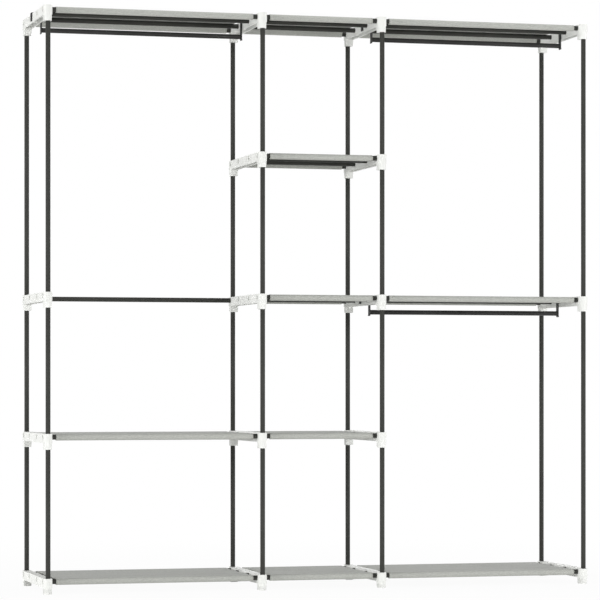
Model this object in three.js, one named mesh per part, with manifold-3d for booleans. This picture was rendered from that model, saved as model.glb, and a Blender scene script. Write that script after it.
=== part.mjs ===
import * as THREE from "three";
import { mergeVertices } from "three/addons/utils/BufferGeometryUtils.js";
import Module from "manifold-3d";

// An open frame wardrobe of three bays: steel tubes pushed into moulded side brackets, fabric shelves
// sleeved over the cross tubes, and three hanging rails whose hooks ride on the brackets' beams.
// Millimetres, +Z up, +Y to the back, with the origin on the floor under the middle of the frame.

// Frame, between the axes of its posts
const wideBay = 631;
const narrowBay = 363;
const depth = 362;
const longSpan = 367.4; // bare post above the bottom and middle brackets
const shortSpan = 359.4; // bare post above the low and high brackets

// Tubes, and the running gap between a tube and what holds it
const tubeDiameter = 14;
const tubeWall = 0.5;
const fitGap = 0.3;
const tubeSides = 10;
const coarseSides = 8; // of empty sockets and bosses

// Side bracket: a beam that is a channel open below, a boss in it round each cross tube socket, and a
// block round each post
const bracketHeight = 45;
const bracketWidth = 24.6;
const beamHeight = 26.5;
const channelWall = 2.6;
const channelRoof = 3;
const bossWall = 2.7; // round a cross tube's socket
const stopThickness = 3; // between two sockets that end back to back
const endTubeInset = 17.5; // first and last cross tube, from the post axis
const middleTubeInset = 117.5; // second and third
const tubeDrop = 10; // cross tube axis under the bracket's top
const postSocketDepth = 20;
const stubReach = 22; // lower part of a post's block, from the post axis towards the middle
const stubSideStep = 1.3; // the stub's sides stand this far inside the beam's
const stubDraftShare = 0.05; // how much narrower the stub is at its foot
const noseSides = 12; // straight stretches of a full turn round the bracket's rounded ends

// Fabric shelf: a sheet over the four cross tubes, with a sleeve round the first and the last
const fabricThickness = 1.2;
const fabricEndGap = 25.5; // fabric's side edge from the post axis
const sleeveSlack = 1; // how far a sleeve sags under its tube

// Hanging rail: a tube between two strap hooks
const railDrop = 47; // rail axis under the bracket's top
const strapWidth = 16;
const strapThickness = 3;
const strapBend = 1.8; // corners of the strap are cut back by this
const shortLegReach = 22; // strap's outer leg under the bracket's top
const longLegGap = 1; // between the beam's side and the leg that carries the rail
const tipReach = 1.2; // flare of the strap's end under the rail
const tipHeight = 4;
const ventRadius = 3; // radius of the hole through the strap at the rail's end
const slideEndGap = 0.5; // left between a hook and a cross tube at the end of the hook's travel
// Where each rail hangs, from the front post axis
const leftTopRailInset = 200;
const rightTopRailInset = 160;
const rightMiddleRailInset = 181;

const overrun = 1; // how far a cutting solid reaches past the face it cuts

// What stands where, counted from the left end and from the floor
const stations = ["left_end", "left_inner", "right_inner", "right_end"];
const levels = ["bottom", "low", "middle", "high", "top"];
const bays = [
  { name: "left", shelves: ["bottom", "low", "top"], backBars: ["middle"] },
  { name: "middle", shelves: levels, backBars: [] },
  { name: "right", shelves: ["bottom", "middle", "top"], backBars: [] },
];
const railHomes = [
  { bay: "left", level: "top", inset: leftTopRailInset },
  { bay: "right", level: "top", inset: rightTopRailInset },
  { bay: "right", level: "middle", inset: rightMiddleRailInset },
];

const frameWidth = 2 * wideBay + narrowBay;
const stationX = [
  -frameWidth / 2,
  wideBay - frameWidth / 2,
  frameWidth / 2 - wideBay,
  frameWidth / 2,
];
const levelPitches = [longSpan, shortSpan, longSpan, shortSpan].map((span) => span + bracketHeight);
const levelZ = levels.map((_, index) => levelPitches.slice(0, index).reduce((a, b) => a + b, 0));
const frontY = -depth / 2;
const tubeRadius = tubeDiameter / 2;
const boreRadius = tubeRadius + fitGap;
const tubePlaces = [
  { name: "front", y: endTubeInset },
  { name: "front_inner", y: middleTubeInset },
  { name: "back_inner", y: depth - middleTubeInset },
  { name: "back", y: depth - endTubeInset },
];

const steel = new THREE.MeshStandardMaterial({ color: 0x434344, roughness: 0.45, metalness: 0.3 });
const whitePlastic = new THREE.MeshStandardMaterial({ color: 0xf3f4ef, roughness: 0.5, metalness: 0 });
const fabric = new THREE.MeshStandardMaterial({ color: 0xb6b7b4, roughness: 0.95, metalness: 0 });
const blackRail = new THREE.MeshStandardMaterial({ color: 0x2b2b2c, roughness: 0.5, metalness: 0.1 });

const wasm = await Module();
wasm.setup();

// A closed geometry as a manifold solid, ready to join and cut
function solid(geometry) {
  const bare = geometry.clone();
  bare.deleteAttribute("normal");
  bare.deleteAttribute("uv");
  const merged = mergeVertices(bare);
  return new wasm.Manifold(
    new wasm.Mesh({
      numProp: 3,
      vertProperties: merged.attributes.position.array,
      triVerts: new Uint32Array(merged.index.array),
    }),
  );
}

// A manifold solid as a geometry
function geometryOf(manifold) {
  const mesh = manifold.getMesh();
  const geometry = new THREE.BufferGeometry();
  geometry.setAttribute("position", new THREE.BufferAttribute(mesh.vertProperties, 3));
  geometry.setIndex(new THREE.BufferAttribute(mesh.triVerts, 1));
  return geometry;
}

// A flat outline pushed out along its own third axis
function extruded(shape, length) {
  return new THREE.ExtrudeGeometry(shape, { depth: length, bevelEnabled: false, curveSegments: 1 });
}

const axisX = new THREE.Vector3(1, 0, 0);
const axisY = new THREE.Vector3(0, 1, 0);
const axisZ = new THREE.Vector3(0, 0, 1);
// Outlines drawn in depth and height, pushed out along the width
const acrossWidth = new THREE.Matrix4().makeBasis(axisY, axisZ, axisX);
// Outlines drawn in width and height, pushed out along the depth
const acrossDepth = new THREE.Matrix4().makeBasis(axisX, axisZ, axisY.clone().negate());

// The corner of a round outline's straight stretches, whose flats lie on the true radius
function ringCorner(radius, angle, sides) {
  const reach = radius / Math.cos(Math.PI / sides);
  return new THREE.Vector2(reach * Math.cos(angle), reach * Math.sin(angle));
}

// A round outline with straight stretches
function ring(radius, sides = tubeSides) {
  const angles = Array.from({ length: sides }, (_, index) => (index / sides) * 2 * Math.PI);
  return angles.map((angle) => ringCorner(radius, angle, sides));
}

// A hollow tube from the origin along its own third axis
function tube(length) {
  const shape = new THREE.Shape(ring(tubeRadius));
  shape.holes.push(new THREE.Path(ring(tubeRadius - tubeWall)));
  return extruded(shape, length);
}

// A round cutter along the height, from one height to another
function verticalBore(y, from, to, sides = tubeSides) {
  const shape = new THREE.Shape(ring(boreRadius, sides));
  return solid(extruded(shape, to - from).translate(0, y, from));
}

// A cylinder along the width at a cross tube's height, from one place to another
function crossCylinder(radius, y, from, to, sides = tubeSides) {
  const geometry = extruded(new THREE.Shape(ring(radius, sides)), to - from).applyMatrix4(acrossWidth);
  return solid(geometry.translate(from, y, bracketHeight - tubeDrop));
}

// Half a round outline about a place on the bracket's middle line. way is 1 for one that bulges to
// the back and -1 for one that bulges to the front.
function nose(radius, y, way) {
  return Array.from({ length: noseSides / 2 }, (_, index) => {
    const angle = ((index + 1 / 2) / noseSides) * 2 * Math.PI;
    return ringCorner(radius, angle, noseSides).multiplyScalar(way).add(new THREE.Vector2(0, y));
  });
}

// The stub round a post's lower socket: a nose to the outside, square towards the middle, narrower
// at its foot
function stub(way, height) {
  const radius = bracketWidth / 2 - stubSideStep;
  const inner = [1, -1].map((side) => new THREE.Vector2(-side * way * radius, -way * stubReach));
  const geometry = extruded(new THREE.Shape([...inner, ...nose(radius, 0, way)]), height);
  const place = geometry.attributes.position;
  for (let index = 0; index < place.count; index++) {
    const keep = 1 - stubDraftShare * (1 - place.getZ(index) / height);
    place.setX(index, place.getX(index) * keep);
    place.setY(index, place.getY(index) * keep);
  }
  return geometry;
}

// The hollow of the beam, open below, with the bosses left standing in it
function channel(beamFoot) {
  const length = depth - 2 * stubReach;
  const height = beamHeight - channelRoof + overrun;
  const hollow = new THREE.BoxGeometry(bracketWidth - 2 * channelWall, length, height);
  let body = solid(hollow.translate(0, depth / 2, beamFoot - overrun + height / 2));
  const side = bracketWidth / 2;
  for (const { y } of tubePlaces) {
    body = body.subtract(crossCylinder(boreRadius + bossWall, y, -side, side, coarseSides));
  }
  return body;
}

// One side bracket, its front post axis at the origin and its foot at height zero.
// filled says for each cross tube whether one comes in from the left and from the right;
// postAbove and postBelow say whether a post goes on above and below the bracket.
function sideBracket(filled, postAbove, postBelow) {
  const beamFoot = bracketHeight - beamHeight;
  const plan = [...nose(bracketWidth / 2, depth, 1), ...nose(bracketWidth / 2, 0, -1)];
  let body = solid(extruded(new THREE.Shape(plan), beamHeight).translate(0, 0, beamFoot));
  body = body.subtract(channel(beamFoot));
  for (const [way, y] of [
    [-1, 0],
    [1, depth],
  ]) {
    body = body.add(solid(stub(way, beamFoot + channelRoof).translate(0, y, 0)));
  }

  // Cross tube sockets: right through where tubes meet, otherwise one from each side
  const outside = bracketWidth / 2 + overrun;
  tubePlaces.forEach(({ y }, index) => {
    const [fromLeft, fromRight] = filled[index];
    if (fromLeft && fromRight) {
      body = body.subtract(crossCylinder(boreRadius, y, -outside, outside));
      return;
    }
    const leftSides = fromLeft ? tubeSides : coarseSides;
    const rightSides = fromRight ? tubeSides : coarseSides;
    body = body.subtract(crossCylinder(boreRadius, y, -outside, -stopThickness / 2, leftSides));
    body = body.subtract(crossCylinder(boreRadius, y, stopThickness / 2, outside, rightSides));
  });

  // Post sockets: right through where the post goes on, otherwise one from above and one from below
  for (const y of [0, depth]) {
    if (postAbove && postBelow) {
      body = body.subtract(verticalBore(y, -overrun, bracketHeight + overrun));
    } else {
      const upperSides = postAbove ? tubeSides : coarseSides;
      const lowerSides = postBelow ? tubeSides : coarseSides;
      const upperFloor = bracketHeight - postSocketDepth;
      body = body.subtract(verticalBore(y, -overrun, postSocketDepth, lowerSides));
      body = body.subtract(verticalBore(y, upperFloor, bracketHeight + overrun, upperSides));
    }
  }
  return geometryOf(body);
}

// The outline of one sleeve round a cross tube: a half round above, a half round that sags below
function sleeveOutline(radius) {
  const upper = [];
  const lower = [];
  for (let step = 0; step <= tubeSides / 2; step++) {
    const angle = (step / tubeSides) * 2 * Math.PI;
    const corner = ringCorner(radius, angle, tubeSides);
    upper.push(corner);
    lower.push(new THREE.Vector2(-corner.x, -corner.y - sleeveSlack));
  }
  return [...upper, ...lower];
}

// One fabric shelf, its first tube axis at the origin, its left edge at zero width
function fabricShelf(width) {
  const innerRadius = tubeRadius + fitGap;
  const outerRadius = innerRadius + fabricThickness;
  const span = depth - 2 * endTubeInset;
  const sleeves = [0, span].map((y) => {
    const geometry = extruded(new THREE.Shape(sleeveOutline(outerRadius)), width);
    return solid(geometry.translate(y, 0, 0).applyMatrix4(acrossWidth));
  });
  const sheet = new THREE.BoxGeometry(width, span, fabricThickness);
  sheet.translate(width / 2, span / 2, innerRadius + fabricThickness / 2);
  let body = solid(sheet);
  for (const sleeve of sleeves) body = body.add(sleeve);
  for (const y of [0, span]) {
    const inside = extruded(new THREE.Shape(sleeveOutline(innerRadius)), width + 2 * overrun);
    body = body.subtract(solid(inside.translate(y, 0, -overrun).applyMatrix4(acrossWidth)));
  }
  return geometryOf(body);
}

// A path with each corner cut back by its own length
function easedPath(corners) {
  const points = corners.map(({ x, z }) => new THREE.Vector2(x, z));
  return corners.flatMap(({ cutBack }, index) => {
    if (!cutBack) return [points[index]];
    return [points[index - 1], points[index + 1]].map((neighbour) => {
      const away = neighbour.clone().sub(points[index]);
      return points[index].clone().addScaledVector(away, cutBack / away.length());
    });
  });
}

// The outline of a strap of even thickness that follows a path
function strapOutline(path, thickness) {
  const near = [];
  const far = [];
  path.forEach((point, index) => {
    const before = index > 0 ? point.clone().sub(path[index - 1]).normalize() : null;
    const after = index < path.length - 1 ? path[index + 1].clone().sub(point).normalize() : null;
    const first = before ?? after;
    const last = after ?? before;
    const along = first.clone().add(last).normalize();
    const square = new THREE.Vector2(-along.y, along.x);
    const reach = thickness / 2 / along.dot(first);
    near.push(point.clone().addScaledVector(square, reach));
    far.unshift(point.clone().addScaledVector(square, -reach));
  });
  return [...near, ...far];
}

// How far the middle of a hook's long leg is from the middle of the bracket
const longLegX = bracketWidth / 2 + longLegGap + strapThickness / 2;

// One strap hook over a bracket's beam, the beam's middle at zero width and its top at height zero.
// side is 1 for a hook whose rail runs to the right.
function strapHook(side) {
  const shortLegX = bracketWidth / 2 + fitGap + strapThickness / 2;
  const over = fitGap + strapThickness / 2;
  const railFoot = -railDrop - tubeRadius;
  const corners = [
    { x: -side * shortLegX, z: -shortLegReach, cutBack: 0 },
    { x: -side * shortLegX, z: over, cutBack: 0 },
    { x: side * longLegX, z: over, cutBack: strapBend },
    { x: side * longLegX, z: railFoot, cutBack: strapBend },
    { x: side * (longLegX - tipReach), z: railFoot - tipHeight, cutBack: 0 },
  ];
  const outline = strapOutline(easedPath(corners), strapThickness);
  const geometry = extruded(new THREE.Shape(outline), strapWidth).applyMatrix4(acrossDepth);
  return solid(geometry.translate(0, strapWidth / 2, 0));
}

// One hanging rail with its two hooks, the left bracket's middle at zero width
function hangingRail(bayWidth) {
  const across = (radius, inset) => {
    const outline = new THREE.Shape(ring(radius));
    const rod = extruded(outline, bayWidth - 2 * inset).applyMatrix4(acrossWidth);
    return solid(rod.translate(inset, 0, -railDrop));
  };
  return geometryOf(
    strapHook(1)
      .add(strapHook(-1).translate([bayWidth, 0, 0]))
      .add(across(tubeRadius, longLegX))
      .subtract(across(tubeRadius - tubeWall, longLegX + strapThickness / 2))
      .subtract(across(ventRadius, longLegX - strapThickness)),
  );
}

const wardrobe = new THREE.Group();

function place(name, geometry, material, x, y, z) {
  const mesh = new THREE.Mesh(geometry, material);
  mesh.name = name;
  mesh.position.set(x, y, z);
  wardrobe.add(mesh);
}

// Whether a bay has a cross tube at a level and a place in its depth
function hasTube(bay, level, tubeName) {
  if (!bay) return false;
  return bay.shelves.includes(level) || (bay.backBars.includes(level) && tubeName === "back");
}

levels.forEach((level, levelIndex) => {
  const tubeZ = levelZ[levelIndex] + bracketHeight - tubeDrop;

  stations.forEach((station, stationIndex) => {
    const bayOnLeft = bays[stationIndex - 1];
    const bayOnRight = bays[stationIndex];
    const filled = tubePlaces.map(({ name }) => [
      hasTube(bayOnLeft, level, name),
      hasTube(bayOnRight, level, name),
    ]);
    if (!filled.flat().includes(true)) return;
    const geometry = sideBracket(filled, levelIndex < levels.length - 1, levelIndex > 0);
    const x = stationX[stationIndex];
    place(`bracket_${station}_${level}`, geometry, whitePlastic, x, frontY, levelZ[levelIndex]);
  });

  // Cross tubes in line through neighbouring bays are one run
  for (const { name, y } of tubePlaces) {
    const filledBays = bays.map((bay, index) => (hasTube(bay, level, name) ? index : -1));
    const run = filledBays.filter((index) => index >= 0);
    const endInset = stopThickness / 2 + fitGap;
    const from = stationX[run[0]] + endInset;
    const to = stationX[run[run.length - 1] + 1] - endInset;
    const geometry = tube(to - from).applyMatrix4(acrossWidth);
    place(`cross_tube_${level}_${name}`, geometry, steel, from, frontY + y, tubeZ);
  }

  bays.forEach((bay, index) => {
    if (!bay.shelves.includes(level)) return;
    const width = stationX[index + 1] - stationX[index] - 2 * fabricEndGap;
    const x = stationX[index] + fabricEndGap;
    place(`shelf_${bay.name}_${level}`, fabricShelf(width), fabric, x, frontY + endTubeInset, tubeZ);
  });
});

// Posts stand in the bottom brackets' upper sockets and end in the top brackets' lower ones
const postFoot = bracketHeight - postSocketDepth + fitGap;
const postTop = levelZ[levels.length - 1] + postSocketDepth - fitGap;
stations.forEach((station, index) => {
  for (const [row, y] of [
    ["front", frontY],
    ["back", -frontY],
  ]) {
    const post = tube(postTop - postFoot);
    place(`post_${station}_${row}`, post, steel, stationX[index], y, postFoot);
  }
});

for (const { bay, level, inset } of railHomes) {
  const index = bays.findIndex(({ name }) => name === bay);
  const bracketTop = levelZ[levels.indexOf(level)] + bracketHeight;
  const rail = hangingRail(stationX[index + 1] - stationX[index]);
  const y = frontY + inset;
  place(`hanging_rail_${bay}_${level}`, rail, blackRail, stationX[index], y, bracketTop);
}

// How far each rail can slide each way before a hook meets a cross tube
for (const { bay, level, inset } of railHomes) {
  const hookReach = tubeRadius + strapWidth / 2 + slideEndGap;
  const towardsFront = middleTubeInset + hookReach - inset;
  const towardsBack = depth - middleTubeInset - hookReach - inset;
  console.log(`rail ${bay} ${level} slides from ${towardsFront} to ${towardsBack} mm`);
}

export default wardrobe;
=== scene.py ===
import math

import bmesh
import bpy
from mathutils import Matrix, Vector, noise


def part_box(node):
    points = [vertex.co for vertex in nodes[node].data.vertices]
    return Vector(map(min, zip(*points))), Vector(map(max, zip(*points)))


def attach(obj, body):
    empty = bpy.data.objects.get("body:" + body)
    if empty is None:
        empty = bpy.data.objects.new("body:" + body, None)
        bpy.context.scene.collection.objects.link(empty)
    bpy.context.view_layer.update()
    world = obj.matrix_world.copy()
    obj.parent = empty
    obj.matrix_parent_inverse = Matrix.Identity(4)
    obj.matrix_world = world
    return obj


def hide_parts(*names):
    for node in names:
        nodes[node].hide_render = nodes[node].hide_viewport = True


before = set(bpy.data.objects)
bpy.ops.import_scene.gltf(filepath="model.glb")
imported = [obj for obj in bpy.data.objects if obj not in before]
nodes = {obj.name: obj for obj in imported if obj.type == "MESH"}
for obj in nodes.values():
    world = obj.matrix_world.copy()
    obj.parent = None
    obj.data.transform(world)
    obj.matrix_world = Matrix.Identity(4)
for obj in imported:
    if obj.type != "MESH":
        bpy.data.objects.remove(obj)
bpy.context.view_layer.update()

MM = 0.001

# Sizes that the frame doesn't give, in metres, and what the meshes are divided into

TUBE_WALL = 0.5 * MM
TUBE_SIDES = 40
TUBE_LIP = 0.25 * MM
STOP_GAP = 0.3 * MM

BEAM_HEIGHT = 26.5 * MM
CHANNEL_WALL = 2.6 * MM
CHANNEL_ROOF = 3 * MM
BOSS_WALL = 2.7 * MM
STOP_THICKNESS = 3 * MM
NOSE_STEPS = 28
POST_SOCKET_DEPTH = 20 * MM
STUB_REACH = 22 * MM
STUB_STEP = 1.3 * MM
STUB_DRAFT = 0.05
SOCKET_GAP = 0.25 * MM
SOCKET_SIDES = 36
EDGE_ROUNDING = 0.7 * MM
EDGE_SEGMENTS = 3
EDGE_ANGLE = math.radians(35)

CLOTH_THICKNESS = 0.4 * MM
CLOTH_RADIUS = 8.3 * MM
HEM_OFFSET = 0.55 * MM
HEM_WIDTH = 9 * MM
SEAM_FROM_TUBE = 15 * MM
SEAM_ALLOWANCE = 6 * MM
SLEEVE_SLACK = 0.12
SLEEVE_STEPS = 14
SLEEVE_TOP_SHARE = 0.9
CLOTH_STEP = 7 * MM
OUTLINE_STEP = CLOTH_STEP * 0.6
HEM_STEPS = 3
FOLD_OFFSET = HEM_OFFSET * 0.4
MIN_COLUMNS = 8
STITCH_LENGTH = 3.4 * MM
THREAD_WIDTH = 0.7 * MM
PUCKER_REACH = 2.2 * MM
HEM_LINE = 7.2 * MM

# How the cloth hangs: its sag for a gap of SAG_SPAN between two tubes, its droop beside the brackets and its
# wrinkles, with the noise's scale across the width and across the depth

SHEET_SAG = 1.6 * MM
SAG_SPAN = 0.128
SAG_AT_BRACKET = 0.55
SAG_TO_MIDDLE = 0.45
BOW_POWER = 1.3
EDGE_DROOP = 1.2 * MM
DROOP_FADE = 9
WRINKLE = 0.35 * MM
WRINKLE_RISE = 3
RIPPLE_SCALE = (9, 16)
FINE_SCALE = (30, 34)
FINE_SHARE = 0.5
FINE_SEED = 7
SLEEVE_WRINKLE = 0.12 * MM
SLEEVE_SCALE = (7, 5)
SLEEVE_SEED = 3
SEED_STEP = 11

# The strap hooks of the hanging rails

STRAP_THICKNESS = 3 * MM
STRAP_GAP = 0.3 * MM
STRAP_ROUNDING = 0.5 * MM
SHORT_LEG_REACH = 22 * MM
LONG_LEG_GAP = 1 * MM
TIP_REACH = 1.2 * MM
TIP_HEIGHT = 4 * MM
STRAP_BEND = 3.3 * MM
STRAP_CREASE = 2.3 * MM
INNER_BEND = 0.4 * MM
BEND_STEPS = 6

# Places read from the frame

STATIONS = ["left_end", "left_inner", "right_inner", "right_end"]
LEVELS = ["bottom", "low", "middle", "high", "top"]
BAYS = ["left", "middle", "right"]
PLACES = ["front", "front_inner", "back_inner", "back"]


def centre(node):
    low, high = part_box(node)
    return (Vector(low) + Vector(high)) / 2


def size(node):
    low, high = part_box(node)
    return Vector(high) - Vector(low)


station_x = {name: centre(f"post_{name}_front").x for name in STATIONS}
front_y = centre("post_left_end_front").y
back_y = centre("post_left_end_back").y
depth = back_y - front_y
bracket_top = {level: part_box(f"bracket_left_inner_{level}")[1][2] for level in LEVELS}
bracket_height = size("bracket_left_inner_top").z
bracket_width = size("bracket_left_inner_top").x
tube_axis = {place: centre(f"cross_tube_top_{place}").y for place in PLACES}
tube_drop = bracket_top["top"] - centre("cross_tube_top_front").z
tube_radius = size("cross_tube_top_front").z / 2


def placed(name, data):
    """A new object of the scene that shows the data."""
    made = bpy.data.objects.new(name, data)
    bpy.context.scene.collection.objects.link(made)
    return made


# Camera, at the photograph's place

SENSOR = 36.0
IMAGE_WIDTH_PX = 600
FOCAL_PX = 2763.2
HORIZON_PX = 381.45
CAMERA_FROM_POST = Vector((-1.3762, -7.7786, 0))
CAMERA_HEIGHT = 0.6067
CAMERA_YAW = math.radians(15.2435)


def add_camera():
    data = bpy.data.cameras.new("camera")
    data.sensor_width = SENSOR
    data.lens = FOCAL_PX / IMAGE_WIDTH_PX * SENSOR
    data.shift_y = (HORIZON_PX - IMAGE_WIDTH_PX / 2) / IMAGE_WIDTH_PX
    camera = placed("camera", data)
    post = Vector((station_x["left_end"], front_y, 0))
    camera.location = post + CAMERA_FROM_POST + Vector((0, 0, CAMERA_HEIGHT))
    camera.rotation_euler = (math.pi / 2, 0, -CAMERA_YAW)
    bpy.context.scene.camera = camera


# Materials: colours, and for each pattern its scale in waves per metre and how high it stands

TUBE_COAT = ((0.044, 0.0448, 0.0407), (0.052, 0.0529, 0.0479))
RAIL_COAT = ((0.028, 0.028, 0.027), (0.040, 0.040, 0.039))
WHITE_PLASTIC = ((0.80, 0.81, 0.78), (0.86, 0.865, 0.84))
BLACK_PLASTIC = ((0.014, 0.014, 0.014), (0.021, 0.021, 0.021))
CLOTH = ((0.407, 0.415, 0.386), (0.514, 0.524, 0.487))
THREAD = (0.66, 0.665, 0.64)

COAT_DRIFT_SCALE = 9.0
COAT_RUB_SCALE = 60.0
COAT_PEEL_SCALE = 900.0
COAT_PEEL_HEIGHT = 0.12 * MM
COAT_SWELL_SCALE = 250.0
COAT_SWELL_HEIGHT = 0.2 * MM

FLOW_SCALE = 22.0
GRAIN_SCALE = 1400.0
GRAIN_HEIGHT = 0.08 * MM
SINK_SCALE = 120.0
SINK_HEIGHT = 0.2 * MM

FIBRE_SCALE = 700.0
FIBRE_HEIGHT = 0.15 * MM
MOTTLE_SCALE = 330.0
MOTTLE_STRETCH = (0.5, 1, 1)
EMBOSS_PITCH = 1.3 * MM
EMBOSS_HEIGHT = 0.2 * MM
PUCKER_HEIGHT = 0.5 * MM
THREAD_HEIGHT = 0.4 * MM
STITCH_FROM = -0.45


def set_stops(node, stops):
    """A colour ramp's stops, each a place and a colour."""
    elements = node.color_ramp.elements
    while len(elements) < len(stops):
        elements.new(0.5)
    for element, (place, colour) in zip(elements, stops):
        element.position = place
        element.color = (*colour, 1)


class Nodes:
    """A material's node tree, with short calls to add and link nodes."""

    def __init__(self, name):
        self.material = bpy.data.materials.new(name)
        self.material.use_nodes = True
        self.tree = self.material.node_tree
        self.shader = self.tree.nodes["Principled BSDF"]

    def add(self, kind, inputs=(), **settings):
        node = self.tree.nodes.new(kind)
        for key, value in settings.items():
            setattr(node, key, value)
        for key, value in dict(inputs).items():
            if isinstance(value, bpy.types.NodeSocket):
                self.tree.links.new(value, node.inputs[key])
            else:
                node.inputs[key].default_value = value
        return node

    def link(self, socket, name):
        self.tree.links.new(socket, self.shader.inputs[name])

    def set(self, **values):
        for name, value in values.items():
            self.shader.inputs[name.replace("_", " ")].default_value = value

    def object_position(self):
        return self.add("ShaderNodeTexCoord").outputs["Object"]

    def noise(self, position, scale, detail=3.0, roughness=0.5):
        inputs = {"Vector": position, "Scale": scale, "Detail": detail, "Roughness": roughness}
        return self.add("ShaderNodeTexNoise", inputs).outputs["Fac"]

    def ramp(self, value, stops):
        node = self.add("ShaderNodeValToRGB", {"Fac": value})
        set_stops(node, stops)
        return node.outputs["Color"]

    def multiplied(self, first, second):
        node = self.add("ShaderNodeMix", data_type="RGBA", blend_type="MULTIPLY")
        node.inputs["Factor"].default_value = 1.0
        self.tree.links.new(first, node.inputs["A"])
        self.tree.links.new(second, node.inputs["B"])
        return node.outputs["Result"]

    def stitches(self, distance, along):
        """Where the thread shows: near its line, and where the wave along it is above STITCH_FROM."""
        wave = self.math("SINE", self.math("MULTIPLY", along, 2 * math.pi / STITCH_LENGTH))
        near = self.math("LESS_THAN", distance, THREAD_WIDTH / 2)
        return self.math("MULTIPLY", near, self.math("GREATER_THAN", wave, STITCH_FROM))

    def spread(self, value, low, high):
        inputs = {"Value": value, "To Min": low, "To Max": high}
        return self.add("ShaderNodeMapRange", inputs).outputs["Result"]

    def math(self, operation, first, second=0.0):
        node = self.add("ShaderNodeMath", {0: first, 1: second}, operation=operation)
        return node.outputs["Value"]

    def bump(self, height, strength, distance, normal=None):
        inputs = {"Height": height, "Strength": strength, "Distance": distance}
        if normal is not None:
            inputs["Normal"] = normal
        return self.add("ShaderNodeBump", inputs).outputs["Normal"]


def coated_steel(name, dark, light, roughness):
    """Powder-coated steel: a fine orange peel on a slow swell, slow colour drift and faint rub marks."""
    n = Nodes(name)
    position = n.object_position()
    drift = n.noise(position, COAT_DRIFT_SCALE, detail=2.0)
    grain = n.noise(position, COAT_PEEL_SCALE, detail=2.0)
    n.link(n.ramp(drift, [(0.3, dark), (0.7, light)]), "Base Color")
    rub = n.noise(position, COAT_RUB_SCALE, detail=4.0, roughness=0.65)
    n.link(n.spread(rub, low=roughness - 0.06, high=roughness + 0.08), "Roughness")
    peel = n.bump(grain, strength=0.25, distance=COAT_PEEL_HEIGHT)
    swell = n.noise(position, COAT_SWELL_SCALE, detail=1.0)
    n.link(n.bump(swell, strength=0.15, distance=COAT_SWELL_HEIGHT, normal=peel), "Normal")
    n.set(Metallic=0.0, IOR=1.5, Specular_IOR_Level=0.1)
    return n.material


def moulded_plastic(name, dark, light, roughness):
    """Moulded plastic: a fine satin grain, slow flow marks in its colour and shallow sink marks."""
    n = Nodes(name)
    position = n.object_position()
    flow = n.noise(position, FLOW_SCALE, detail=3.0)
    grain = n.noise(position, GRAIN_SCALE, detail=2.0)
    n.link(n.ramp(flow, [(0.3, dark), (0.72, light)]), "Base Color")
    n.link(n.spread(grain, low=roughness - 0.07, high=roughness + 0.07), "Roughness")
    sink = n.bump(n.noise(position, SINK_SCALE, detail=2.0), strength=0.12, distance=SINK_HEIGHT)
    n.link(n.bump(grain, strength=0.2, distance=GRAIN_HEIGHT, normal=sink), "Normal")
    n.set(IOR=1.46)
    return n.material


def cloth_material():
    """Bonded non-woven cloth: embossed dots, short fibres, and lock stitches along its hems and seams."""
    n = Nodes("shelf_cloth")
    flat = n.add("ShaderNodeUVMap", uv_map="flat").outputs["UV"]
    position = n.object_position()
    fibres = n.noise(position, FIBRE_SCALE, detail=6.0, roughness=0.7)
    drawn = n.add("ShaderNodeMapping", {"Vector": position, "Scale": MOTTLE_STRETCH}).outputs["Vector"]
    mottle = n.noise(drawn, MOTTLE_SCALE, detail=6.0, roughness=0.75)
    dark, light = CLOTH
    body = n.ramp(mottle, [(0.36, dark), (0.64, light)])
    hairs = n.ramp(fibres, [(0.35, (0.9,) * 3), (0.6, (1.03,) * 3)])
    dots = n.add("ShaderNodeTexVoronoi", {"Vector": flat, "Scale": 1 / EMBOSS_PITCH, "Randomness": 0.12})
    dot = n.spread(dots.outputs["Distance"], low=0.0, high=1.0)
    pressed = n.ramp(dot, [(0.1, (0.8,) * 3), (0.4, (1.0,) * 3)])
    shaded = n.multiplied(n.multiplied(body, hairs), pressed)
    from_hem = n.math("ABSOLUTE", n.add("ShaderNodeAttribute", attribute_name="from_hem").outputs["Fac"])
    from_seam = n.math("ABSOLUTE", n.add("ShaderNodeAttribute", attribute_name="from_seam").outputs["Fac"])
    place = n.add("ShaderNodeSeparateXYZ", {"Vector": flat}).outputs
    thread = n.math("MAXIMUM", n.stitches(from_hem, place["Y"]), n.stitches(from_seam, place["X"]))
    pucker = n.math("MINIMUM", n.math("MINIMUM", from_hem, from_seam), PUCKER_REACH)
    coloured = n.add("ShaderNodeMix", data_type="RGBA")
    n.tree.links.new(thread, coloured.inputs["Factor"])
    n.tree.links.new(shaded, coloured.inputs["A"])
    coloured.inputs["B"].default_value = (*THREAD, 1)
    n.link(coloured.outputs["Result"], "Base Color")
    emboss = n.bump(dot, strength=0.5, distance=EMBOSS_HEIGHT)
    hairy = n.bump(fibres, strength=0.35, distance=FIBRE_HEIGHT, normal=emboss)
    reach = n.math("DIVIDE", pucker, PUCKER_REACH)
    drawn_in = n.bump(reach, strength=0.5, distance=PUCKER_HEIGHT, normal=hairy)
    n.link(n.bump(thread, strength=0.6, distance=THREAD_HEIGHT, normal=drawn_in), "Normal")
    n.link(n.spread(fibres, low=0.82, high=0.98), "Roughness")
    n.set(Specular_IOR_Level=0.25, Sheen_Weight=0.15, Sheen_Roughness=0.6)
    return n.material


# Mesh helpers


def link(name, mesh, materials=()):
    """The mesh as an object, with the materials unless it has its own."""
    if not mesh.materials:
        for material in materials:
            mesh.materials.append(material)
    return placed(name, mesh)


def mesh_from(name, vertices, faces):
    mesh = bpy.data.meshes.new(name)
    mesh.from_pydata([tuple(v) for v in vertices], [], faces)
    mesh.polygons.foreach_set("use_smooth", [True] * len(mesh.polygons))
    mesh.update()
    return mesh


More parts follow.
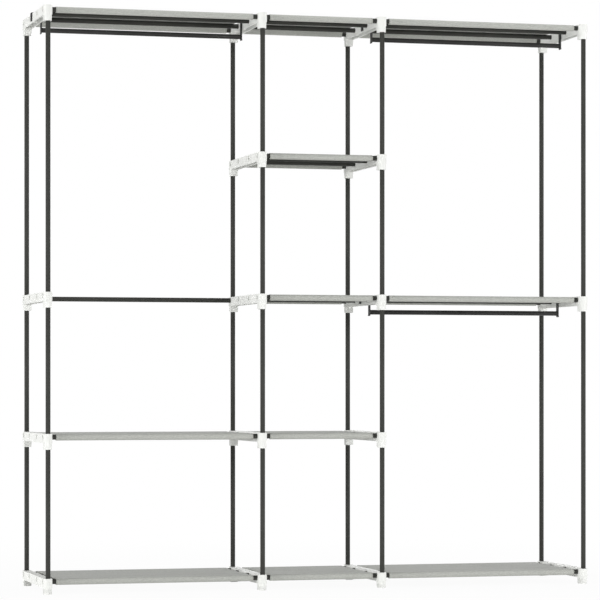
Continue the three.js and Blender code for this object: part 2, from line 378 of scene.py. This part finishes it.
def lathe(name, profile, sides):
    """A closed ring of (distance along, radius) turned about the X axis."""
    vertices = []
    for step in range(sides):
        angle = 2 * math.pi * step / sides
        vertices += [(x, r * math.cos(angle), r * math.sin(angle)) for x, r in profile]
    count = len(profile)
    faces = []
    for step in range(sides):
        here, there = step * count, (step + 1) % sides * count
        for k in range(count):
            after = (k + 1) % count
            faces.append((here + k, here + after, there + after, there + k))
    return mesh_from(name, vertices, faces)


def tube_mesh(name, length, radius):
    """A tube along X from zero, with its lips eased."""
    inner = radius - TUBE_WALL
    lip = TUBE_LIP
    profile = [
        (lip / 2, inner),
        (0, inner + lip / 2),
        (0, radius - lip),
        (lip, radius),
        (length / 2, radius),
        (length - lip, radius),
        (length, radius - lip),
        (length, inner + lip / 2),
        (length - lip / 2, inner),
        (length / 2, inner),
    ]
    return lathe(name, profile, TUBE_SIDES)


def prism(outline, low, high):
    """A bmesh of a flat outline in X and Y, pushed up from one height to another."""
    bm = bmesh.new()
    base = [bm.verts.new((x, y, low)) for x, y in outline]
    top = [bm.verts.new((x, y, high)) for x, y in outline]
    count = len(outline)
    bm.faces.new(list(reversed(base)))
    bm.faces.new(top)
    for k in range(count):
        after = (k + 1) % count
        bm.faces.new((base[k], base[after], top[after], top[k]))
    return bm


def nose(radius, y, way):
    """Half a round about a place on the middle line, to the back (1) or to the front (-1)."""
    angles = [math.pi * k / NOSE_STEPS for k in range(NOSE_STEPS + 1)]
    return [(way * radius * math.cos(a), y + way * radius * math.sin(a)) for a in angles]


def circle(cx, cy, radius, sides):
    return [
        (cx + radius * math.cos(2 * math.pi * k / sides), cy + radius * math.sin(2 * math.pi * k / sides))
        for k in range(sides)
    ]


def as_object(bm, name):
    mesh = bpy.data.meshes.new(name)
    bmesh.ops.recalc_face_normals(bm, faces=bm.faces)
    bm.to_mesh(mesh)
    bm.free()
    return placed(name, mesh)


def joined(parts, name):
    """One object of several bmeshes, which go."""
    bm = bmesh.new()
    for part in parts:
        mesh = bpy.data.meshes.new("part")
        part.to_mesh(mesh)
        part.free()
        bm.from_mesh(mesh)
        bpy.data.meshes.remove(mesh)
    return as_object(bm, name)


def applied(obj):
    """The object's mesh with its modifiers applied."""
    graph = bpy.context.evaluated_depsgraph_get()
    graph.update()
    return bpy.data.meshes.new_from_object(obj.evaluated_get(graph))


def boolean(target, cutter, operation):
    """The target's mesh, cut by or joined to the cutter. The cutter goes."""
    modifier = target.modifiers.new(operation, "BOOLEAN")
    modifier.object = cutter
    modifier.operation = operation
    modifier.solver = "EXACT"
    mesh = applied(target)
    target.modifiers.clear()
    old = target.data
    target.data = mesh
    bpy.data.meshes.remove(old)
    bpy.data.objects.remove(cutter)


def softened(obj, width):
    """The object's mesh with its edges rounded and its large faces shaded flat. The object goes."""
    obj.data.polygons.foreach_set("use_smooth", [True] * len(obj.data.polygons))
    bevel = obj.modifiers.new("edges", "BEVEL")
    bevel.width = width
    bevel.segments = EDGE_SEGMENTS
    bevel.limit_method = "ANGLE"
    bevel.angle_limit = EDGE_ANGLE
    bevel.use_clamp_overlap = True
    shading = obj.modifiers.new("shading", "WEIGHTED_NORMAL")
    shading.weight = 100
    mesh = applied(obj)
    mesh.materials.clear()
    bpy.data.objects.remove(obj)
    return mesh


# Side bracket: one moulding, the same at every place


def turned(bm, matrix):
    bmesh.ops.transform(bm, matrix=matrix, verts=bm.verts)
    return bm


def cross_cylinder(radius, y, low, high):
    """A round along the width at a cross tube's height."""
    lie_down = Matrix.Rotation(math.pi / 2, 4, "Y")
    there = Matrix.Translation((0, y, bracket_height - tube_drop))
    return turned(prism(circle(0, 0, radius, SOCKET_SIDES), low, high), there @ lie_down)


def stub(way, post_y, height):
    """The block round a post's lower socket, narrower at its foot."""
    radius = bracket_width / 2 - STUB_STEP
    inner = [(-way * radius, -way * STUB_REACH), (way * radius, -way * STUB_REACH)]
    bm = prism(inner + nose(radius, 0, way), 0, height)
    for vertex in bm.verts:
        keep = 1 - STUB_DRAFT * (1 - vertex.co.z / height)
        vertex.co.x *= keep
        vertex.co.y = post_y + vertex.co.y * keep
    return bm


def bracket_mesh(material):
    """The moulding with its front post's axis at zero and its foot at height zero."""
    half = bracket_width / 2
    past = half + CHANNEL_WALL
    foot = bracket_height - BEAM_HEIGHT
    tubes = [tube_axis[place] - front_y for place in PLACES]
    bore = tube_radius + SOCKET_GAP
    plan = nose(half, depth, 1) + nose(half, 0, -1)
    body = as_object(prism(plan, foot, bracket_height), "bracket_body")

    inside = half - CHANNEL_WALL
    near, far = STUB_REACH, depth - STUB_REACH
    outline = [(-inside, near), (inside, near), (inside, far), (-inside, far)]
    hollow = as_object(prism(outline, foot - CHANNEL_WALL, bracket_height - CHANNEL_ROOF), "hollow")
    bosses = [cross_cylinder(bore + BOSS_WALL, y, -past, past) for y in tubes]
    boolean(hollow, joined(bosses, "bosses"), "DIFFERENCE")
    boolean(body, hollow, "DIFFERENCE")

    stubs = [stub(-1, 0, foot + CHANNEL_ROOF), stub(1, depth, foot + CHANNEL_ROOF)]
    boolean(body, joined(stubs, "stubs"), "UNION")

    cutters = []
    for y in tubes:
        cutters.append(cross_cylinder(bore, y, -past, -STOP_THICKNESS / 2))
        cutters.append(cross_cylinder(bore, y, STOP_THICKNESS / 2, past))
    for y in (0, depth):
        sockets = [
            (-CHANNEL_ROOF, POST_SOCKET_DEPTH),
            (bracket_height - POST_SOCKET_DEPTH, bracket_height + CHANNEL_ROOF),
        ]
        cutters += [prism(circle(0, y, bore, SOCKET_SIDES), low, high) for low, high in sockets]
    boolean(body, joined(cutters, "cutters"), "DIFFERENCE")

    mesh = softened(body, EDGE_ROUNDING)
    mesh.name = "bracket"
    mesh.materials.append(material)
    return mesh


def add_brackets(material):
    mesh = bracket_mesh(material)
    for station in STATIONS:
        for level in LEVELS:
            node = f"bracket_{station}_{level}"
            if node not in nodes:
                continue
            made = link(f"side_{node}", mesh)
            made.location = (station_x[station], front_y, bracket_top[level] - bracket_height)
            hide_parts(node)
            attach(made, "root")


# Tubes

STAND_UP = Matrix.Rotation(-math.pi / 2, 4, "Y")


def add_posts(material):
    for station in STATIONS:
        levels = [level for level in LEVELS if f"bracket_{station}_{level}" in nodes]
        for row, y in (("front", front_y), ("back", back_y)):
            for below, above in zip(levels, levels[1:]):
                low = bracket_top[below] - POST_SOCKET_DEPTH + STOP_GAP
                high = bracket_top[above] - bracket_height + POST_SOCKET_DEPTH - STOP_GAP
                name = f"upright_{station}_{row}_{below}"
                made = link(name, tube_mesh(name, high - low, tube_radius), [material])
                made.matrix_world = Matrix.Translation((station_x[station], y, low)) @ STAND_UP
                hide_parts(f"post_{station}_{row}")
                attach(made, "root")


def has_cross_tube(bay_index, level, place):
    """Whether the frame's tube in this line runs through the bay."""
    node = f"cross_tube_{level}_{place}"
    if node not in nodes:
        return False
    low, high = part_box(node)
    middle = (station_x[STATIONS[bay_index]] + station_x[STATIONS[bay_index + 1]]) / 2
    return low[0] < middle < high[0]


def add_cross_tubes(material):
    for level in LEVELS:
        for place in PLACES:
            for index, bay in enumerate(BAYS):
                if not has_cross_tube(index, level, place):
                    continue
                low = station_x[STATIONS[index]] + STOP_THICKNESS / 2 + STOP_GAP
                high = station_x[STATIONS[index + 1]] - STOP_THICKNESS / 2 - STOP_GAP
                name = f"shelf_tube_{bay}_{level}_{place}"
                made = link(name, tube_mesh(name, high - low, tube_radius), [material])
                made.location = (low, tube_axis[place], bracket_top[level] - tube_drop)
                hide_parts(f"cross_tube_{level}_{place}")
                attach(made, "root")


# Fabric shelves


def sleeve_half():
    """From the loose end of the seam allowance, round under and in front of the tube, to its top."""
    radius = CLOTH_RADIUS
    under_sheet = radius - HEM_OFFSET - CLOTH_THICKNESS
    seam = Vector((SEAM_FROM_TUBE, under_sheet))
    distance = seam.length
    tangent = math.atan2(seam.y, seam.x) - math.acos(radius / distance)
    points = [Vector((SEAM_FROM_TUBE + SEAM_ALLOWANCE, under_sheet)), seam]
    start, end = tangent, -3 * math.pi / 2
    for step in range(SLEEVE_STEPS + 1):
        angle = start + (end - start) * step / SLEEVE_STEPS
        y, z = radius * math.cos(angle), radius * math.sin(angle)
        if z < 0:
            z *= 1 + SLEEVE_SLACK
        points.append(Vector((y, z)))
    return points


def resampled(points, step):
    """The path with more points, about a step apart."""
    made = [points[0]]
    for before, after in zip(points, points[1:]):
        count = max(1, round((after - before).length / step))
        made += [before.lerp(after, k / count) for k in range(1, count + 1)]
    return made


def shelf_outline():
    """The cloth's path across the depth: allowance, front sleeve, sheet, back sleeve, allowance."""
    span = tube_axis["back"] - tube_axis["front"]
    front = sleeve_half()
    back = [Vector((span - p.x, p.y)) for p in reversed(front)]
    return resampled(front + back, OUTLINE_STEP)


def cloth_columns(width):
    """(place along the width, how far it is folded under) for each column, hem to hem."""
    inside = max(MIN_COLUMNS, round((width - 2 * HEM_WIDTH) / CLOTH_STEP))
    left = [(HEM_WIDTH * (1 - k / HEM_STEPS), 1.0) for k in range(HEM_STEPS)]
    left += [(FOLD_OFFSET, 1.0), (0.0, 0.5), (FOLD_OFFSET, 0.0)]
    left += [(HEM_WIDTH * k / HEM_STEPS, 0.0) for k in range(1, HEM_STEPS)]
    middle = [(HEM_WIDTH + (width - 2 * HEM_WIDTH) * k / inside, 0.0) for k in range(inside + 1)]
    right = [(width - x, folded) for x, folded in reversed(left)]
    return left + middle + right


def wrinkle(x, y, scale, seed):
    """Noise between -1 and 1 at a place on the cloth."""
    return noise.noise(Vector((x * scale[0], y * scale[1], seed)))


def shelf_height(x, y, width, seed):
    """How far the sheet lies off its straight line at a place: sag between tubes, droop and wrinkles."""
    supports = [tube_axis[place] - tube_axis["front"] for place in PLACES]
    off = 0.0
    for before, after in zip(supports, supports[1:]):
        if before < y < after:
            share = (y - before) / (after - before)
            edge = min(x, width - x) / (width / 2)
            bow = math.sin(math.pi * share) ** BOW_POWER
            sag = SHEET_SAG * (SAG_AT_BRACKET + SAG_TO_MIDDLE * edge)
            droop = EDGE_DROOP * math.exp(-edge * DROOP_FADE)
            off -= (sag + droop) * bow * (after - before) / SAG_SPAN
            ripple = wrinkle(x, y, RIPPLE_SCALE, seed)
            fine = wrinkle(x, y, FINE_SCALE, seed + FINE_SEED)
            off += WRINKLE * (ripple + FINE_SHARE * fine) * min(1, bow * WRINKLE_RISE)
    return off


def shelf_mesh(name, width, seed):
    """The cloth's one layer, with its flat places and its distances from the stitch lines, and its length."""
    outline = shelf_outline()
    span = tube_axis["back"] - tube_axis["front"]
    columns = cloth_columns(width)
    lengths = [0.0]
    for before, after in zip(outline, outline[1:]):
        lengths.append(lengths[-1] + (after - before).length)
    normals = []
    for index, point in enumerate(outline):
        before = outline[max(index - 1, 0)]
        after = outline[min(index + 1, len(outline) - 1)]
        along = (after - before).normalized()
        normals.append(Vector((-along.y, along.x)))
    vertices, flat, from_hem, from_seam = [], [], [], []
    for point, normal, length in zip(outline, normals, lengths):
        on_sheet = 0 < point.x < span and point.y > SLEEVE_TOP_SHARE * CLOTH_RADIUS
        for x, folded in columns:
            inward = normal * (-HEM_OFFSET * folded)
            y, z = point.x + inward.x, point.y + inward.y
            if on_sheet:
                z += shelf_height(x, point.x, width, seed)
            if point.y < 0:
                z += SLEEVE_WRINKLE * wrinkle(x, point.x, SLEEVE_SCALE, seed + SLEEVE_SEED)
            vertices.append((x, y, z))
            flat.append((x, length))
            from_hem.append(min(x, width - x) - HEM_LINE)
            from_seam.append(min(point.x, span - point.x) - SEAM_FROM_TUBE)
    count = len(columns)
    faces = []
    for row in range(len(outline) - 1):
        for column in range(count - 1):
            a = row * count + column
            faces.append((a, a + 1, a + count + 1, a + count))
    mesh = mesh_from(name, vertices, faces)
    layer = mesh.uv_layers.new(name="flat")
    for loop in mesh.loops:
        layer.data[loop.index].uv = flat[loop.vertex_index]
    for attribute, values in (("from_hem", from_hem), ("from_seam", from_seam)):
        made = mesh.attributes.new(attribute, "FLOAT", "POINT")
        made.data.foreach_set("value", values)
    return mesh, lengths[-1]


def add_shelves(material):
    seed = 0
    for level in LEVELS:
        for bay in BAYS:
            node = f"shelf_{bay}_{level}"
            if node not in nodes:
                continue
            low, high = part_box(node)
            width = high[0] - low[0]
            seed += SEED_STEP
            mesh, length = shelf_mesh(f"cloth_{bay}_{level}", width, seed)
            made = link(f"cloth_{bay}_{level}", mesh, [material])
            made.location = (low[0], tube_axis["front"], bracket_top[level] - tube_drop)
            thick = made.modifiers.new("thickness", "SOLIDIFY")
            thick.thickness = CLOTH_THICKNESS
            thick.offset = 0
            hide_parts(node)
            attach(made, "root")


# Hanging rails


def eased(corners, cut_backs):
    """A path whose inner corners are rounded, each by its own length."""
    points = [corners[0]]
    for before, corner, after, cut_back in zip(corners, corners[1:], corners[2:], cut_backs):
        start = corner + (before - corner).normalized() * cut_back
        end = corner + (after - corner).normalized() * cut_back
        for k in range(BEND_STEPS + 1):
            t = k / BEND_STEPS
            points.append((1 - t) ** 2 * start + 2 * t * (1 - t) * corner + t**2 * end)
    points.append(corners[-1])
    return points


def strap_outline(corners, thickness, outer_bends, inner_bends):
    """The edge of a strap whose middle line runs through the corners, turning right."""
    outer, inner = [], []
    for index, point in enumerate(corners):
        first = (point - corners[index - 1]).normalized() if index else None
        last = (corners[index + 1] - point).normalized() if index < len(corners) - 1 else None
        first, last = first or last, last or first
        along = (first + last).normalized()
        square = Vector((-along.y, along.x))
        reach = thickness / 2 / along.dot(first)
        outer.append(point + square * reach)
        inner.append(point - square * reach)
    return eased(outer, outer_bends) + eased(inner, inner_bends)[::-1]


def hook_mesh(name, rail_drop, width, material):
    """A strap hook over a beam whose middle line is at zero and whose top is at height zero."""
    short_leg = bracket_width / 2 + STRAP_GAP + STRAP_THICKNESS / 2
    long_leg = bracket_width / 2 + LONG_LEG_GAP + STRAP_THICKNESS / 2
    over = STRAP_GAP + STRAP_THICKNESS / 2
    rail_foot = -rail_drop - tube_radius
    corners = [
        (-short_leg, -SHORT_LEG_REACH),
        (-short_leg, over),
        (long_leg, over),
        (long_leg, rail_foot),
        (long_leg - TIP_REACH, rail_foot - TIP_HEIGHT),
    ]
    outer_bends = [STRAP_CREASE, STRAP_BEND, STRAP_BEND]
    outline = strap_outline([Vector(c) for c in corners], STRAP_THICKNESS, outer_bends, [INNER_BEND] * 3)
    bm = prism([(p.x, p.y) for p in outline], -width / 2, width / 2)
    turned(bm, Matrix.Rotation(math.pi / 2, 4, "X"))
    mesh = softened(as_object(bm, name), STRAP_ROUNDING)
    mesh.name = name
    mesh.materials.append(material)
    return mesh


def add_rails(rod_material, hook_material):
    for bay, level in (("left", "top"), ("right", "top"), ("right", "middle")):
        node = f"hanging_rail_{bay}_{level}"
        body = f"{bay}_{level}_rail"
        low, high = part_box(node)
        index = BAYS.index(bay)
        left, right = station_x[STATIONS[index]], station_x[STATIONS[index + 1]]
        y = (low[1] + high[1]) / 2
        top = bracket_top[level]
        # The slanted tip's lower corner hangs this far below the end of its middle line
        tip_foot = STRAP_THICKNESS / 2 * TIP_REACH / math.hypot(TIP_REACH, TIP_HEIGHT)
        rail_drop = top - low[2] - tube_radius - TIP_HEIGHT - tip_foot
        mesh = hook_mesh(f"strap_{bay}_{level}", rail_drop, high[1] - low[1], hook_material)
        leg = bracket_width / 2 + LONG_LEG_GAP + STRAP_THICKNESS
        tube = tube_mesh("rod", right - left - 2 * leg, tube_radius)
        rod = link(f"rail_{bay}_{level}", tube, [rod_material])
        rod.location = (left + leg, y, top - rail_drop)
        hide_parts(node)
        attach(rod, body)
        for end, x, turn in (("left", left, 0), ("right", right, math.pi)):
            hook = link(f"hook_{bay}_{level}_{end}", mesh)
            hook.matrix_world = Matrix.Translation((x, y, top)) @ Matrix.Rotation(turn, 4, "Z")
            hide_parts(node)
            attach(hook, body)


# Stage and light

FLOOR_SIZE = 60
FLOOR_GLOW = 0.95
FLOOR_GLOW_FROM = 0.6
FLOOR_GLOW_FULL = 2.6
FLOOR_COLOUR = (0.8, 0.8, 0.8, 1)
FLOOR_ROUGHNESS = 0.9
WHITE = (1, 1, 1, 1)


def seen_directly(n):
    """One for rays that show the floor itself, zero for those that carry its light to the object."""
    path = n.add("ShaderNodeLightPath")
    seen = n.math("MAXIMUM", path.outputs["Is Camera Ray"], path.outputs["Is Glossy Ray"])
    return n.math("MAXIMUM", seen, path.outputs["Is Transmission Ray"])


def add_floor():
    n = Nodes("floor")
    n.set(Base_Color=FLOOR_COLOUR, Roughness=FLOOR_ROUGHNESS)
    position = n.add("ShaderNodeNewGeometry").outputs["Position"]
    distance = n.add("ShaderNodeVectorMath", {0: position}, operation="LENGTH").outputs["Value"]
    inputs = {"Value": distance, "From Min": FLOOR_GLOW_FROM, "From Max": FLOOR_GLOW_FULL}
    inputs["To Min"] = FLOOR_GLOW
    far = n.add("ShaderNodeMapRange", inputs, interpolation_type="SMOOTHSTEP").outputs["Result"]
    glow = n.add("ShaderNodeEmission", {"Color": WHITE, "Strength": 1.0})
    mix = n.add("ShaderNodeMixShader", {"Fac": n.math("MULTIPLY", far, seen_directly(n))})
    n.tree.links.new(n.shader.outputs["BSDF"], mix.inputs[1])
    n.tree.links.new(glow.outputs["Emission"], mix.inputs[2])
    n.tree.links.new(mix.outputs["Shader"], n.tree.nodes["Material Output"].inputs["Surface"])
    half = FLOOR_SIZE / 2
    corners = [(-half, -half, 0), (half, -half, 0), (half, half, 0), (-half, half, 0)]
    link("floor", mesh_from("floor", corners, [(0, 1, 2, 3)]), [n.material])


WORLD_STRENGTH = 1.0
# How bright the studio is, from straight below the object to straight above it
SURROUND = [(0.0, (0.3,) * 3), (0.45, (0.3,) * 3), (0.6, (0.42,) * 3), (1.0, (0.46,) * 3)]


def add_world():
    """A grey studio round the object, which the camera sees as white."""
    world = bpy.data.worlds.new("studio")
    bpy.context.scene.world = world
    world.use_nodes = True
    tree = world.node_tree
    background = tree.nodes["Background"]
    background.inputs["Strength"].default_value = WORLD_STRENGTH
    place = tree.nodes.new("ShaderNodeTexCoord")
    split = tree.nodes.new("ShaderNodeSeparateXYZ")
    height = tree.nodes.new("ShaderNodeMapRange")
    height.inputs["From Min"].default_value = -1
    ramp = tree.nodes.new("ShaderNodeValToRGB")
    set_stops(ramp, SURROUND)
    tree.links.new(place.outputs["Generated"], split.inputs["Vector"])
    tree.links.new(split.outputs["Z"], height.inputs["Value"])
    tree.links.new(height.outputs["Result"], ramp.inputs["Fac"])
    tree.links.new(ramp.outputs["Color"], background.inputs["Color"])
    seen = tree.nodes.new("ShaderNodeBackground")
    seen.inputs["Color"].default_value = WHITE
    path = tree.nodes.new("ShaderNodeLightPath")
    mix = tree.nodes.new("ShaderNodeMixShader")
    direct = tree.nodes.new("ShaderNodeMath")
    direct.operation = "MAXIMUM"
    tree.links.new(path.outputs["Is Camera Ray"], direct.inputs[0])
    tree.links.new(path.outputs["Is Transmission Ray"], direct.inputs[1])
    tree.links.new(direct.outputs["Value"], mix.inputs["Fac"])
    tree.links.new(background.outputs["Background"], mix.inputs[1])
    tree.links.new(seen.outputs["Background"], mix.inputs[2])
    tree.links.new(mix.outputs["Shader"], tree.nodes["World Output"].inputs["Surface"])


MIDDLE = (0, 0, 0.9)
LAMPS = [
    # name, place, aim, width, height, watts
    ("key", (-1.8, -6.8, 2.4), MIDDLE, 5.0, 0.6, 34),
    ("front", (-1.8, -7.0, 0.95), MIDDLE, 7.0, 0.35, 20),
    ("fill", (5.2, -5.0, 1.4), MIDDLE, 3.0, 1.8, 212),
    ("left", (-9.4, -2.6, 1.9), MIDDLE, 2.8, 3.0, 425),
    ("rear", (2.5, 7.5, 1.6), MIDDLE, 3.0, 1.8, 110),
    ("top", (0, 0, 4.2), (0, 0, 0), 2.6, 0.8, 34),
    ("low", (0, -0.3, 0.01), (0, -0.3, 1), 5.0, 4.0, 16),
]


def add_lamps():
    for name, place, aim, width, height, watts in LAMPS:
        data = bpy.data.lights.new(name, "AREA")
        data.shape = "RECTANGLE"
        data.size, data.size_y, data.energy = width, height, watts
        lamp = placed(name, data)
        lamp.location = place
        lamp.rotation_mode = "QUATERNION"
        lamp.rotation_quaternion = (Vector(aim) - Vector(place)).to_track_quat("-Z", "Y")
        lamp.visible_camera = False


def main():
    add_camera()
    steel = coated_steel("coated_tube", *TUBE_COAT, roughness=0.5)
    black = coated_steel("coated_rail", *RAIL_COAT, roughness=0.42)
    white = moulded_plastic("white_moulding", *WHITE_PLASTIC, roughness=0.58)
    strap = moulded_plastic("black_moulding", *BLACK_PLASTIC, roughness=0.45)
    add_brackets(white)
    add_posts(steel)
    add_cross_tubes(steel)
    add_shelves(cloth_material())
    add_rails(black, strap)
    add_floor()
    add_world()
    add_lamps()
    bpy.context.scene.view_settings.view_transform = "Standard"


main()
